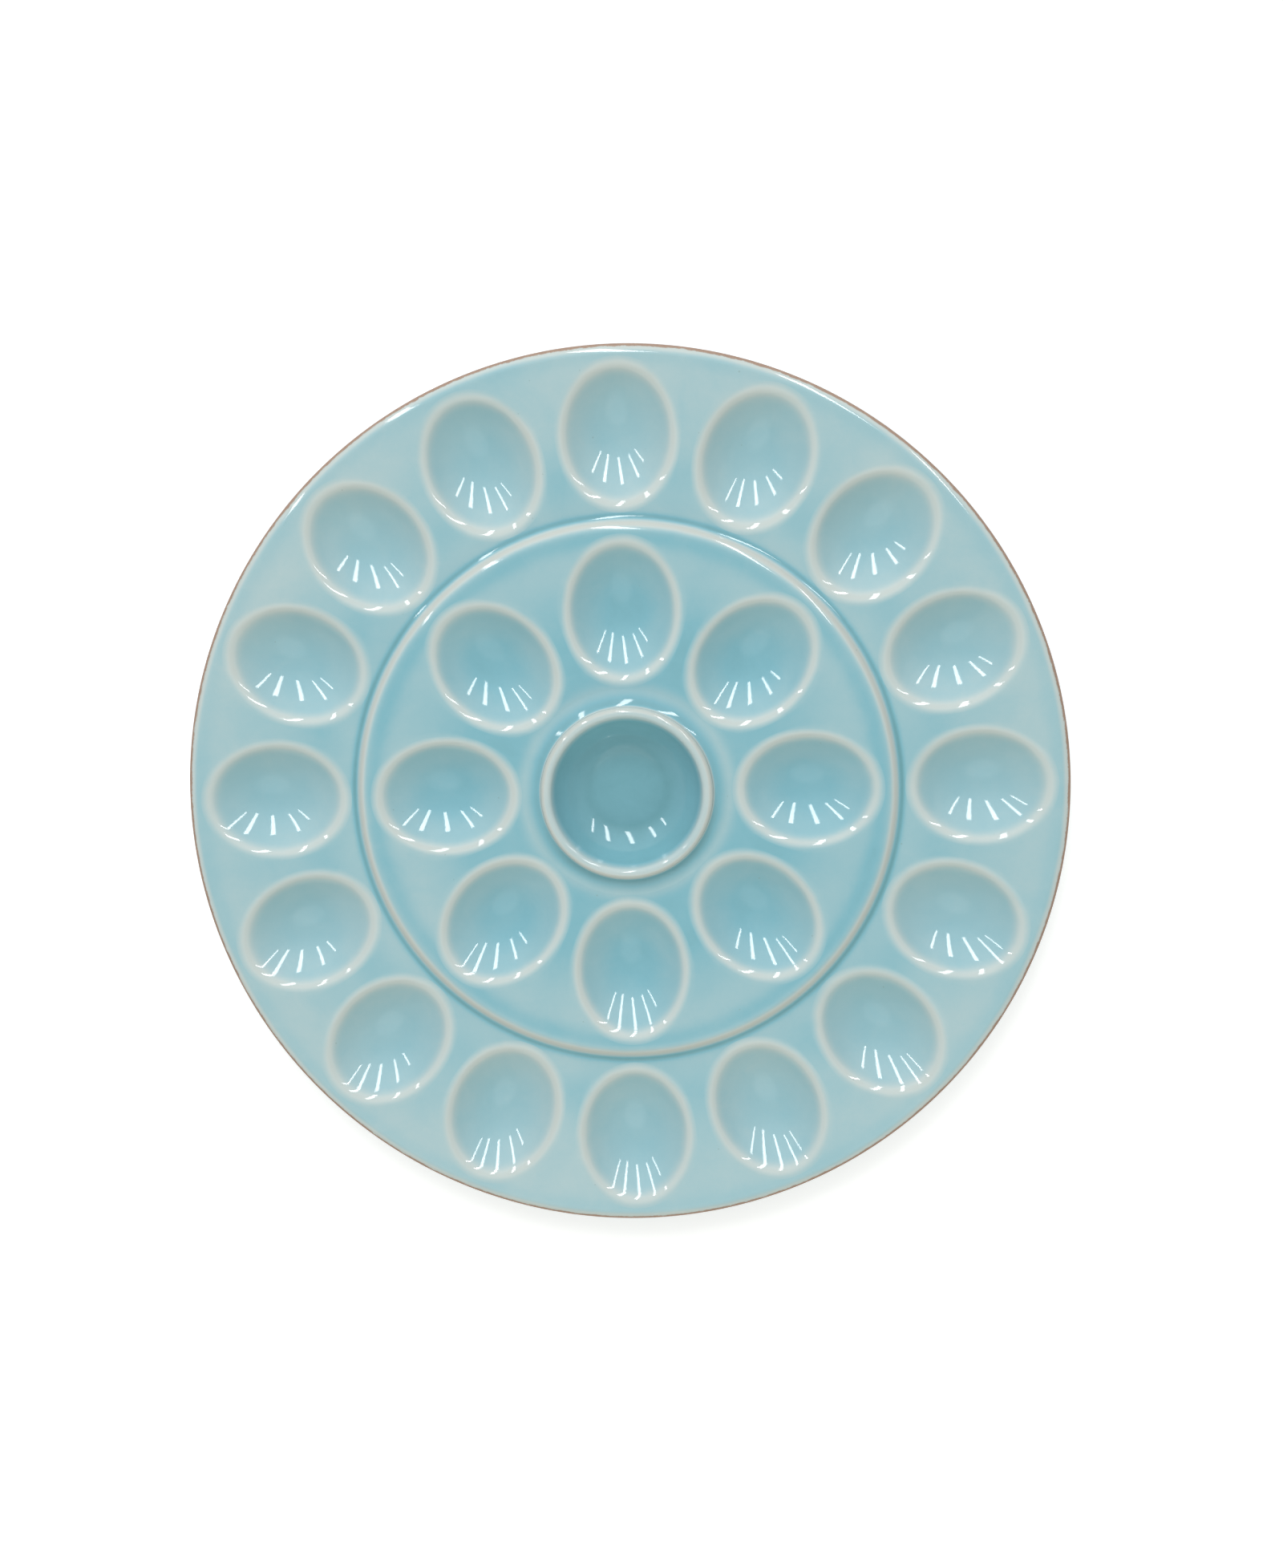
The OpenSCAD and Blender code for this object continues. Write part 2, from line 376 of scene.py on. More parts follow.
def deck_depth(r, plan):
    """Glaze depth on the decks by radius: thicker towards the middle, pooled at the ridge and the collar."""
    # how much thicker the glaze lies, where, and how wide the ring is
    rings = {
        "collar's foot": (0.22, plan.collar_r + 2.2 * MM, 2.4 * MM),
        "deck round the collar": (-0.45, plan.collar_r + 8.0 * MM, 3.2 * MM),
        "deck before the ridge": (0.42, plan.ridge_r - 6.3 * MM, 4.4 * MM),
        "groove at the ridge's foot": (1.00, plan.ridge_r + 3.2 * MM, 1.7 * MM),
        "deck past the groove": (0.24, plan.ridge_r + 22 * MM, 10 * MM),
        "deck before the rim": (0.14, plan.platter_r - 6 * MM, 4 * MM),
    }
    depth = 0.50 * (1 - step(r, 70 * MM, 112 * MM)) - 0.16 * step(r, 165 * MM, 190 * MM)
    return depth + sum(more * bump(r, middle, width) for more, middle, width in rings.values())


# Egg wells

# The top lies no deeper than this: below the bowl's curve, and below the deck outside the bowl
BOWL_SKIN = 1.5 * MM
EDGE_SKIN = 2.2 * MM


def well_outline(plan):
    """Section of a wedge with its well, from the middle of the bowl out and back under it."""
    s = plan.s
    bowl = []
    for i in range(BOWL_POINTS + 1):
        # closer together near the edge
        t = math.sin(math.pi / 2 * i / BOWL_POINTS) ** 0.85
        bowl.append((plan.bowl_b * t, plan.bowl_z(t)))
    steep = 90 + math.degrees(plan.edge_slope)
    edge = arc((plan.edge_b, -plan.edge_r), plan.edge_r, steep, 90, EDGE_POINTS)
    under = -s.deck_t
    below = s.well_floor_t + s.well_depth + BUMP_TOP
    bulge = []
    for i in range(BUMP_POINTS + 1):
        t = BUMP_END * (1 - i / BUMP_POINTS)
        bulge.append((plan.under_b * t, BUMP_TOP - below * (1 - t ** 3)))
    turn = bulge[0]
    lean = 3 * below / plan.under_b * BUMP_END ** 2
    fillet = curve((turn[0] + 4.4 * MM, under), (turn[0] + (under - turn[1]) / lean, under), turn, 4)
    fillet_end = fillet[0][0]
    land = [(plan.edge_b + (WEDGE_REACH - plan.edge_b) * w, 0) for w in TOP_LOOPS]
    low = [(WEDGE_REACH + (fillet_end - WEDGE_REACH) * w, under) for w in UNDER_LOOPS]
    return joined(bowl, edge, land, low, fillet, bulge), fillet_end


def wedge_edge(theta, corner, half, start, end, ring_r):
    """Where the wedge's edge stands for an angle round the well: outer arc, side, inner arc."""
    a = abs(theta)
    c1, c2 = corner
    if a <= c1:
        phi = half * a / c1
        p = (end * math.cos(phi), end * math.sin(phi))
    elif a <= c2:
        t = (a - c1) / (c2 - c1)
        r = end + (start - end) * (t - SIDE_CROWDING * math.sin(TURN * t) / TURN)
        p = (r * math.cos(half), r * math.sin(half))
    else:
        phi = half * (math.pi - a) / (math.pi - c2)
        p = (start * math.cos(phi), start * math.sin(phi))
    return p[0] - ring_r, math.copysign(p[1], theta if abs(math.sin(theta)) > 1e-9 else 1)


def wedge(name, plan, count, ring_r, start, end, steps, top, glaze):
    """One wedge of deck with its well, centred on +X: a turned shell, drawn out to the wedge's edge.

    The steps are those of its outer and its inner arc. The glaze is its depth in the middle of the bowl, and
    how much less lies on the bowl's wall.
    """
    outline, fillet_end = well_outline(plan)
    arc_out, arc_in = steps
    total = arc_out + arc_in + 2 * SIDE_STEPS
    piece = turned(name, outline, total, closed=False)
    half = math.pi / count
    corner = (math.pi * arc_out / total, math.pi * (1 - arc_in / total))
    co, rho = points_of(piece)
    bowl_z = plan.bowl_z(np.minimum(rho / plan.bowl_b, 1))
    is_top = co[:, 2] > np.where(rho <= plan.bowl_b, bowl_z - BOWL_SKIN, -EDGE_SKIN)
    out = co.copy()
    for k, (x, y, _) in enumerate(co):
        theta = math.atan2(y, x)
        limit = plan.edge_b if is_top[k] else fillet_end
        if rho[k] > limit + SAME_REACH:
            w = (rho[k] - limit) / (WEDGE_REACH - limit)
            ex, ey = wedge_edge(theta, corner, half, start, end, ring_r)
            ix, iy = limit * plan.stretch * math.cos(theta), limit * math.sin(theta)
            out[k, 0] = ix + (ex - ix) * w
            out[k, 1] = iy + (ey - iy) * w
        else:
            out[k, 0] = x * plan.stretch
    out[:, 0] += ring_r
    r = np.hypot(out[:, 0], out[:, 1])
    out[:, 2] += top(r) + np.where(is_top, plan.sag(r, start), 0)
    move_points(piece, out)
    faced_out(piece)
    smooth(piece)
    # the rounded edge carries a pale band, and the glaze lies thickest in the middle of the bowl
    pooled, less = glaze
    bowl = pooled - less * step(rho, 7 * MM, 19 * MM)
    away = step(rho, plan.bowl_b + 2.5 * MM, plan.bowl_b + 7 * MM)
    band = bump(rho, plan.bowl_b + 1.7 * MM, 2.4 * MM)
    depth = blended(blended(bowl, deck_depth(r, plan), away), WELL_BAND_GLAZE, band)
    paint(piece, np.where(is_top, depth, UNDERSIDE_GLAZE))
    return piece


def place_wells(prefix, nodes, count, proto):
    """Copies a wedge round the platter, each copy with its own mesh, clockwise from +Y."""
    pieces = [proto]
    for _ in range(count - 1):
        pick(proto)
        bpy.ops.object.duplicate(linked=False)
        pieces.append(bpy.context.object)
    for i, piece in enumerate(pieces):
        pick(piece)
        piece.rotation_euler = (0, 0, TURN / 4 - i * TURN / count)
        bpy.ops.object.transform_apply(location=False, rotation=True, scale=False)
        piece.name = f"{prefix}_{i + 1:02d}"
        piece.data.name = piece.name
        finished(piece, "aqua_glaze", f"{nodes}_{i + 1:02d}")


class PLATTER_OT_inner_wells(bpy.types.Operator):
    """Adds the inner deck as wedges, each with its round-edged egg well"""
    bl_idname = "platter.inner_wells"
    bl_label = "Inner egg wells"

    def execute(self, context):
        plan = layout()
        arc_steps = (RIDGE_STEPS // INNER_WELLS, CUP_STEPS // INNER_WELLS)
        proto = wedge("inner_wedge", plan, INNER_WELLS, plan.inner_r, plan.inner_from, plan.inner_to,
                      arc_steps, plan.inner_top, INNER_BOWL_GLAZE)
        place_wells("inner_egg_well", "inner_well", INNER_WELLS, proto)
        return {"FINISHED"}


class PLATTER_OT_outer_wells(bpy.types.Operator):
    """Adds the outer deck as wedges, each with its round-edged egg well"""
    bl_idname = "platter.outer_wells"
    bl_label = "Outer egg wells"

    def execute(self, context):
        plan = layout()
        arc_steps = (RIM_STEPS // OUTER_WELLS, RIDGE_STEPS // OUTER_WELLS)
        proto = wedge("outer_wedge", plan, OUTER_WELLS, plan.outer_r, plan.outer_from, plan.outer_to,
                      arc_steps, plan.outer_top, OUTER_BOWL_GLAZE)
        place_wells("outer_egg_well", "outer_well", OUTER_WELLS, proto)
        return {"FINISHED"}


class PLATTER_OT_divider_ridge(bpy.types.Operator):
    """Adds the rounded step between the two decks"""
    bl_idname = "platter.divider_ridge"
    bl_label = "Divider ridge"

    def execute(self, context):
        plan = layout()
        s = plan.s
        inside = (plan.inner_to, plan.inner_top(plan.inner_to))
        level, shoulder_share = 0.3 * MM, 0.6
        crest = (inside[0] + level, inside[1])
        outside = (plan.outer_from, plan.outer_top(plan.outer_from) - plan.dip)
        run, drop = outside[0] - crest[0], crest[1] - outside[1]
        # both arcs turn by the same angle, so that the shoulder runs into the fillet
        turn = 2 * math.degrees(math.atan(drop / run))
        both = run / math.sin(math.radians(turn))
        shoulder = shoulder_share * both
        fillet = both - shoulder
        # the clay below runs down to both corners of the foot's top
        under = plan.outer_top(plan.outer_from) - s.deck_t
        foot_in, foot_out = plan.foot_r - plan.foot_top_w / 2, plan.foot_r + plan.foot_top_w / 2
        outline = joined(
            [inside],
            arc((crest[0], crest[1] - shoulder), shoulder, 90, 90 - turn, 14),
            arc((outside[0], outside[1] + fillet), fillet, 270 - turn, 270, 12),
            [(plan.outer_from, under)],
            curve((plan.outer_from - 0.4 * MM, under - 0.35 * MM),
                  (foot_out + 0.3 * MM, plan.foot_top_z + 0.4 * MM), (foot_out, plan.foot_top_z), 3),
            curve((foot_in, plan.foot_top_z), (foot_in - 0.3 * MM, plan.foot_top_z + 1.5 * MM),
                  (plan.inner_to, inside[1] - s.deck_t), 5),
        )
        piece = turned("ridge_between_rings", outline, RIDGE_STEPS, closed=True)
        faced_out(piece)
        smooth(piece)
        co, r = points_of(piece)
        crest_line = bump(r, plan.ridge_r + 0.1 * MM, 1.85 * MM)
        depth = blended(deck_depth(r, plan), RIDGE_CREST_GLAZE, crest_line)
        paint(piece, np.where(co[:, 2] > outside[1] - 1 * MM, depth, UNDERSIDE_GLAZE))
        finished(piece, "aqua_glaze", "divider_ridge")
        return {"FINISHED"}


class PLATTER_OT_rim_edge(bpy.types.Operator):
    """Adds the rounded edge with its worn brown line"""
    bl_idname = "platter.rim_edge"
    bl_label = "Rim edge"

    def execute(self, context):
        plan = layout()
        s = plan.s
        inside = (plan.outer_to, plan.outer_top(plan.outer_to))
        under = (inside[0], inside[1] - s.deck_t)
        # a wide arc leaves the deck, and a tight one turns round the platter's edge
        slope, away, tight = s.outer_slope, math.radians(52), 1.2 * MM
        run = plan.platter_r - inside[0] - tight * (1 - math.sin(away))
        wide = run / (math.sin(away) + math.sin(slope))
        centre = (inside[0] + wide * math.sin(slope), inside[1] - wide * math.cos(slope))
        corner = (centre[0] + (wide - tight) * math.sin(away), centre[1] + (wide - tight) * math.cos(away))
        side = (plan.platter_r - 1.6 * MM, corner[1] - 2 * MM)
        meet = 90 - math.degrees(away)
        outline = joined(
            arc(centre, wide, 90 + math.degrees(slope), meet, 12),
            arc(corner, tight, meet, -12, 9),
            curve(side, (side[0] - 1.6 * MM, under[1]), under, 6),
        )
        piece = turned("platter_rim", outline, RIM_STEPS, closed=True)
        faced_out(piece)
        smooth(piece)
        co, r = points_of(piece)
        z = co[:, 2]
        out = step(r, plan.platter_r - 4.2 * MM, plan.platter_r - 1.6 * MM)
        depth = blended(deck_depth(r, plan), RIM_GLAZE, out)
        worn = step(r, plan.platter_r - 2.4 * MM, plan.platter_r - 0.5 * MM)
        worn = worn * step(z, side[1] - 0.6 * MM, side[1] + 0.8 * MM)
        paint(piece, np.where(z > side[1] - 0.1 * MM, depth, UNDERSIDE_GLAZE), worn)
        finished(piece, "worn_rim_glaze", "rim_edge")
        return {"FINISHED"}


class PLATTER_OT_foot_ring(bpy.types.Operator):
    """Adds the ring that the platter stands on, bare on its standing face"""
    bl_idname = "platter.foot_ring"
    bl_label = "Foot ring"

    def execute(self, context):
        plan = layout()
        s = plan.s
        top, half = plan.foot_top_w / 2, s.foot_w / 2
        round_r = 1.0 * MM
        left = arc((plan.foot_r - half, round_r), round_r, 180, 270, 6)
        right = arc((plan.foot_r + half, round_r), round_r, 270, 360, 6)
        # the sides are slightly hollow
        waist, waist_z = top - 0.35 * MM, 0.55 * plan.foot_top_z
        outline = joined(
            curve((plan.foot_r - top, plan.foot_top_z), (plan.foot_r - waist, waist_z), left[0], 6),
            left,
            [(plan.foot_r, 0)],
            right,
            curve(right[-1], (plan.foot_r + waist, waist_z), (plan.foot_r + top, plan.foot_top_z), 6),
        )
        piece = turned("standing_foot", outline, RIDGE_STEPS, closed=True)
        faced_out(piece)
        smooth(piece)
        co, _ = points_of(piece)
        z = co[:, 2]
        bare = 1 - step(z, 0.6 * MM, 2.0 * MM)
        wiped = 1 - step(z, 1.0 * MM, 3.4 * MM)
        paint(piece, UNDERSIDE_GLAZE - 0.8 * wiped, bare)
        finished(piece, "bare_clay", "foot_ring")
        return {"FINISHED"}


class PLATTER_OT_dip_cup(bpy.types.Operator):
    """Adds the dip cup with its raised collar and the deck just round it"""
    bl_idname = "platter.dip_cup"
    bl_label = "Dip cup"

    def execute(self, context):
        plan = layout()
        s = plan.s
        # slopes of the bowl's arc: at the collar from upright, and at the floor from level
        lean, floor_lean, floor_end = math.radians(21), math.radians(12.5), math.radians(14.6)
        deck = plan.inner_top(plan.inner_from)
        edge = (plan.inner_from, deck - plan.dip)
        under = deck - s.deck_t
        round_r = 2.6 * MM
        rounding = (plan.collar_r - round_r, s.collar_z - round_r)
        collar = arc(rounding, round_r, 180 - math.degrees(lean), 0, 18)
        foot = (plan.collar_r + 0.3 * MM, deck + 2.0 * MM)
        # the bowl's arc is the one that starts at the floor's edge and ends at the collar with these slopes
        floor_edge = (18 * MM, s.cup_floor_z + 0.4 * MM)
        span = (collar[0][0] - floor_edge[0], collar[0][1] - floor_edge[1])
        bowl_r = (span[0] - span[1] * math.tan(lean)) / (
            math.cos(lean) - math.sin(floor_lean) - (math.cos(floor_lean) - math.sin(lean)) * math.tan(lean))
        centre = (floor_edge[0] - bowl_r * math.sin(floor_lean),
                  floor_edge[1] + bowl_r * math.cos(floor_lean))
        outer_r = bowl_r + s.cup_wall
        leave = math.asin((under - centre[1]) / outer_r) - math.radians(8)
        low = (centre[0] + outer_r * math.cos(leave), centre[1] + outer_r * math.sin(leave))
        turn = (low[0] - (under - low[1]) * math.tan(leave), under)
        floor_r, rise, reach = 17.1 * MM, 0.32 * MM, 0.8 * MM
        floor = curve((0, s.cup_floor_z), (9 * MM, s.cup_floor_z), (floor_r, s.cup_floor_z + rise), 7)
        bowl = arc(centre, bowl_r, math.degrees(floor_end) - 90, -math.degrees(lean), 18)
        outline = joined(
            floor,
            ease(floor[-1], (reach, 0.06 * MM), bowl[0], (reach, reach * math.tan(floor_end)), 3),
            bowl,
            collar,
            ease(collar[-1], (0.02 * MM, -2.2 * MM), foot, (0.5 * MM, -1.6 * MM), 4),
            ease(foot, (0.8 * MM, -2.5 * MM), edge, (6.5 * MM, 0), 14),
            [(plan.inner_from, under)],
            curve((turn[0] + 3.5 * MM, under), turn, low, 5),
            arc(centre, outer_r, math.degrees(leave), -90, 10),
            [(centre[0] * 0.5, centre[1] - outer_r), (0, centre[1] - outer_r)],
        )
        piece = turned("cup_and_collar", outline, CUP_STEPS, closed=False)
        faced_out(piece)
        smooth(piece)
        co, r = points_of(piece)
        z = co[:, 2]
        # the glaze pools on the floor, most at its edge, and thins up the wall; painted shade darkens it all
        floor_rim, middle = bump(r, 18.3 * MM, 2.6 * MM), bump(r, 0, 7 * MM)
        wall = step(r, 17 * MM, 33 * MM) * (1 - step(r, 33.5 * MM, 34.6 * MM))
        # the high base depth inside is partly pooled glaze and partly painted shade in the cup's hollow
        inside = 0.88 + 0.12 * floor_rim - 0.06 * middle - 0.24 * wall
        depth = np.where(r < plan.collar_r - round_r, inside, deck_depth(r, plan))
        # it breaks on the collar, and most on its crest
        crest = step(r, plan.collar_r - 7.2 * MM, plan.collar_r - 4.4 * MM)
        crest = crest * (1 - step(r, plan.collar_r, plan.collar_r + 1.3 * MM))
        crest = crest * step(z, s.collar_z - 6.6 * MM, s.collar_z - 4.0 * MM)
        broken = -0.45 - 0.50 * step(r, plan.collar_r - 2.4 * MM, plan.collar_r - 1.1 * MM)
        depth = blended(depth, broken, crest)
        shell = np.hypot(r - centre[0], z - centre[1]) < bowl_r + 0.5 * s.cup_wall
        below_floor = (r < centre[0]) & (z < s.cup_floor_z - 0.5 * s.cup_wall)
        below_wall = (r >= centre[0]) & ~shell & (z < under + 0.1 * MM)
        paint(piece, np.where(below_floor | below_wall, UNDERSIDE_GLAZE, depth))
        finished(piece, "aqua_glaze", "dip_cup")
        return {"FINISHED"}


# Finishes

GLAZE_IOR = 1.5
# Noise in the glaze and the clay: scale per metre, detail, roughness and distortion
DRIFT = (14, 2, 0.5, 0.4)
CLOUDS = (60, 3, 0.55, 0.6)
FINE_CLOUDS = (420, 3, 0.6)
SPECK_PATCHES = (95, 1)
WORN_PATCHES = (130, 5, 0.72, 0.8)
GRIT = (900, 2, 0.7)
WAVES = (45, 1, 0.5)
ORANGE_PEEL = (330, 2, 0.6)

# Share of the clouding that comes from the drifts, the clouds and the fine clouds
DRIFT_SHARE, CLOUD_SHARE, FINE_SHARE = 1.8, 1.1, 0.35
# Share of the relief that comes from the waves, the orange peel and the grit of bare clay, and its strength
WAVE_SHARE, PEEL_SHARE, GRIT_SHARE = 0.42, 0.012, 0.05
RELIEF = 0.22
RELIEF_HIGH = 0.6 * MM

# Depth of glaze, from 0 broken to 1 pooled, at which each colour stands
PALE_AT, BODY_AT, POOL_AT = 0.19, 0.5, 0.75

# What bare clay follows: the worn places, patches round their middle level, and grit
WORN_SHARE, PATCH_LEVEL, PATCH_SHARE, WORN_GRIT_SHARE = 1.35, 0.58, 1.9, 0.8
# The sum above which clay shows, how sharply it does, and how soon it may where a place starts to be worn
CLAY_ABOVE, CLAY_SHARPNESS, CLAY_ONSET = 0.42, 2.4, 4.0
CLAY_ROUGHNESS, CLOUD_ROUGHNESS = 0.5, 0.02

# Cells that a speck may lie in, a speck's size in its cell, and the noise above which there are specks
SPECK_CELLS_PER_METRE = 190.0
SPECK_SIZE = 0.11
SPECKS_ABOVE = 0.64
SPECK_STRENGTH = 0.35
SPECK_COLOUR = (0.22, 0.30, 0.28)

FLOOR_GLOW = 0.42


class Graph:
    """Small helper to lay out a material's nodes."""

    def __init__(self, name):
        self.material = bpy.data.materials.new(name)
        self.material.use_nodes = True
        self.tree = self.material.node_tree
        self.tree.nodes.clear()

    def add(self, kind, values=None, **settings):
        node = self.tree.nodes.new(kind)
        for key, value in settings.items():
            setattr(node, key, value)
        for key, value in (values or {}).items():
            if isinstance(value, bpy.types.NodeSocket):
                self.tree.links.new(value, node.inputs[key])
            else:
                node.inputs[key].default_value = value
        return node

    def math(self, operation, a, b, clamp=False):
        return self.add("ShaderNodeMath", {0: a, 1: b}, operation=operation, use_clamp=clamp).outputs[0]

    def total(self, *values):
        out = values[0]
        for value in values[1:]:
            out = self.math("ADD", out, value)
        return out

    def around(self, value, middle, strength):
        """How far a value lies from the middle, times a strength."""
        return self.math("MULTIPLY", self.math("SUBTRACT", value, middle), strength)

    def mix(self, factor, a, b):
        return self.add("ShaderNodeMix", {0: factor, 6: a, 7: b}, data_type="RGBA").outputs[2]

    def noise(self, vector, scale, detail, rough=0.5, distortion=0.0):
        node = self.add("ShaderNodeTexNoise", {"Vector": vector, "Scale": scale, "Detail": detail,
                                               "Roughness": rough, "Distortion": distortion})
        return node.outputs["Fac"]

    def ramp(self, factor, stops):
        node = self.add("ShaderNodeValToRGB", {"Fac": factor})
        elements = node.color_ramp.elements
        while len(elements) > 1:
            elements.remove(elements[-1])
        for i, (position, value) in enumerate(stops):
            element = elements[0] if i == 0 else elements.new(position)
            element.position = position
            element.color = rgba(value)
        return node.outputs["Color"]

    def surface(self, shader):
        self.add("ShaderNodeOutputMaterial", {"Surface": shader.outputs[0]})
        return self.material


def rgba(values):
    return (*values, 1.0)


def glaze_material():
    """Aqua glaze: cream where it breaks on edges, blue where it pools in hollows, darkest as painted shade in
    the cup, clay where worn bare.
    """
    found = bpy.data.materials.get("aqua_glaze_on_clay")
    if found:
        return found
    look = bpy.context.scene.platter_glaze
    g = Graph("aqua_glaze_on_clay")
    place = g.add("ShaderNodeTexCoord").outputs["Object"]
    depth = g.add("ShaderNodeAttribute", attribute_name="glaze_depth").outputs["Fac"]
    bare = g.add("ShaderNodeAttribute", attribute_name="bare_clay").outputs["Fac"]
    # the glaze lies unevenly, in broad drifts and smaller clouds
    cloud = g.noise(place, *CLOUDS)
    level = g.total(depth, g.around(g.noise(place, *DRIFT), 0.5, DRIFT_SHARE * look.cloud),
                    g.around(cloud, 0.5, CLOUD_SHARE * look.cloud),
                    g.around(g.noise(place, *FINE_CLOUDS), 0.5, FINE_SHARE * look.cloud))
    # from -1 to 1, to the ramp's 0 to 1
    level = g.math("ADD", g.math("MULTIPLY", level, 0.5), 0.5, clamp=True)
    # the last stop is pooled glaze in the groove and painted shade inside the cup
    glaze = g.ramp(level, [(0.0, look.thin), (PALE_AT, look.pale), (BODY_AT, look.body),
                           (POOL_AT, look.pool), (1.0, look.deep_glaze_and_shade)])
    # sparse dark specks under the gloss
    cells = g.add("ShaderNodeTexVoronoi", {
        "Vector": place, "Scale": SPECK_CELLS_PER_METRE, "Randomness": 1.0})
    size = g.math("MULTIPLY", cells.outputs["Color"], SPECK_SIZE)
    speck = g.math("LESS_THAN", cells.outputs["Distance"], size)
    chosen = g.math("GREATER_THAN", g.noise(place, *SPECK_PATCHES), SPECKS_ABOVE)
    speck = g.math("MULTIPLY", g.math("MULTIPLY", speck, chosen), SPECK_STRENGTH)
    glaze = g.mix(speck, glaze, rgba(SPECK_COLOUR))
    # worn edge: brown clay that shows through in uneven patches
    grit = g.noise(place, *GRIT)
    mask = g.total(g.math("MULTIPLY", bare, WORN_SHARE),
                   g.around(g.noise(place, *WORN_PATCHES), PATCH_LEVEL, PATCH_SHARE),
                   g.around(grit, 0.5, WORN_GRIT_SHARE))
    mask = g.math("MULTIPLY", g.math("SUBTRACT", mask, CLAY_ABOVE), CLAY_SHARPNESS, clamp=True)
    mask = g.math("MULTIPLY", mask, g.math("MULTIPLY", bare, CLAY_ONSET, clamp=True), clamp=True)
    clay = g.mix(grit, rgba(look.worn), rgba(look.clay))
    rough = g.total(g.math("MULTIPLY", mask, CLAY_ROUGHNESS), look.gloss,
                    g.math("MULTIPLY", cloud, CLOUD_ROUGHNESS))
    # the fired surface is slightly wavy, with fine orange peel, and the bare clay is gritty
    relief = g.total(g.math("MULTIPLY", g.noise(place, *WAVES), WAVE_SHARE),
                     g.math("MULTIPLY", g.noise(place, *ORANGE_PEEL), PEEL_SHARE),
                     g.math("MULTIPLY", g.math("MULTIPLY", grit, mask), GRIT_SHARE))
    bumped = g.add("ShaderNodeBump", {"Height": relief, "Strength": RELIEF, "Distance": RELIEF_HIGH})
    shader = g.add("ShaderNodeBsdfPrincipled", {
        "Base Color": g.mix(mask, glaze, clay), "Roughness": rough, "IOR": GLAZE_IOR,
        "Normal": bumped.outputs["Normal"]})
    return g.surface(shader)


def floor_material():
    """Pale matte floor that reads as white to the camera and keeps the platter's shadow."""
    look = bpy.context.scene.platter_stage
    g = Graph("pale_floor")
    seen = g.add("ShaderNodeLightPath")
    sight = g.math("MAXIMUM", seen.outputs["Is Camera Ray"], seen.outputs["Is Transmission Ray"])
    matte = g.add("ShaderNodeBsdfDiffuse", {"Color": rgba(look.floor), "Roughness": 0.0})
    glow = g.add("ShaderNodeEmission", {"Color": rgba((1, 1, 1)), "Strength": FLOOR_GLOW})
    both = g.add("ShaderNodeAddShader", {0: matte.outputs[0], 1: glow.outputs[0]})
    choose = g.add("ShaderNodeMixShader", {"Fac": sight, 1: matte.outputs[0], 2: both.outputs[0]})
    return g.surface(choose)


# Strip lamps in a row to the north: place along the row, the heights of the two ends, and the width
LAMPS = [
    (-2.46, 1.90, 3.45, 0.115),
    (-1.42, 1.20, 2.85, 0.13),
    (-0.40, 1.12, 2.70, 0.165),
    (0.54, 1.12, 2.95, 0.17),
    (1.42, 1.28, 3.10, 0.12),
]
LAMP_ROW_NORTH = 2.0
# How far a strip lamp leans east and north on each metre up
LAMP_LEAN = (0.12, -0.26)
SOFT_LAMP_AWAY = 3.0
FLOOR_SIZE = 6.0

CAMERA_TILT = math.radians(7.22)
CAMERA_AZIMUTH = math.radians(73.44)
CAMERA_ROLL = math.radians(88.55)
CAMERA_AWAY = 0.942
CAMERA_AIM = (0.00670, 0.00366, 0.0221)
FOCAL_PIXELS = 2551.0
PHOTO_HIGH = 1955.0
SENSOR_HIGH = 36.0

# Parts of the room's light: the way to each from the platter, and the cosines and levels it fades between
OPEN_SIDE = ((-0.32, 0.39, 0.86), (0.38, 0.52), (0.52, 1.0))
WALL = ((0.0, 0.82, 0.57), (0.55, 0.95), (0.0, 1.22))
CEILING = ((0.0, -0.50, 0.87), (0.93, 0.985), (0.0, 1.4))
# How uneven the edge of the open side is
OPEN_SIDE_NOISE = 0.44


def towards(azimuth, elevation):
    """The way to a place in the room, from the platter."""
    level = math.cos(elevation)
    return Vector((level * math.cos(azimuth), level * math.sin(azimuth), math.sin(elevation)))


def aimed(place, right, up, back):
    """Stands a lamp or camera at a place, looking away from its back."""
    return Matrix.Translation(place) @ Matrix((right, up, back)).transposed().to_4x4()


def camera_axes():
    back = towards(CAMERA_AZIMUTH, TURN / 4 - CAMERA_TILT)
    up = Vector((math.cos(CAMERA_ROLL), math.sin(CAMERA_ROLL), 0))
    right = (-back).cross(up).normalized()
    up = right.cross(-back).normalized()
    return right, up, back


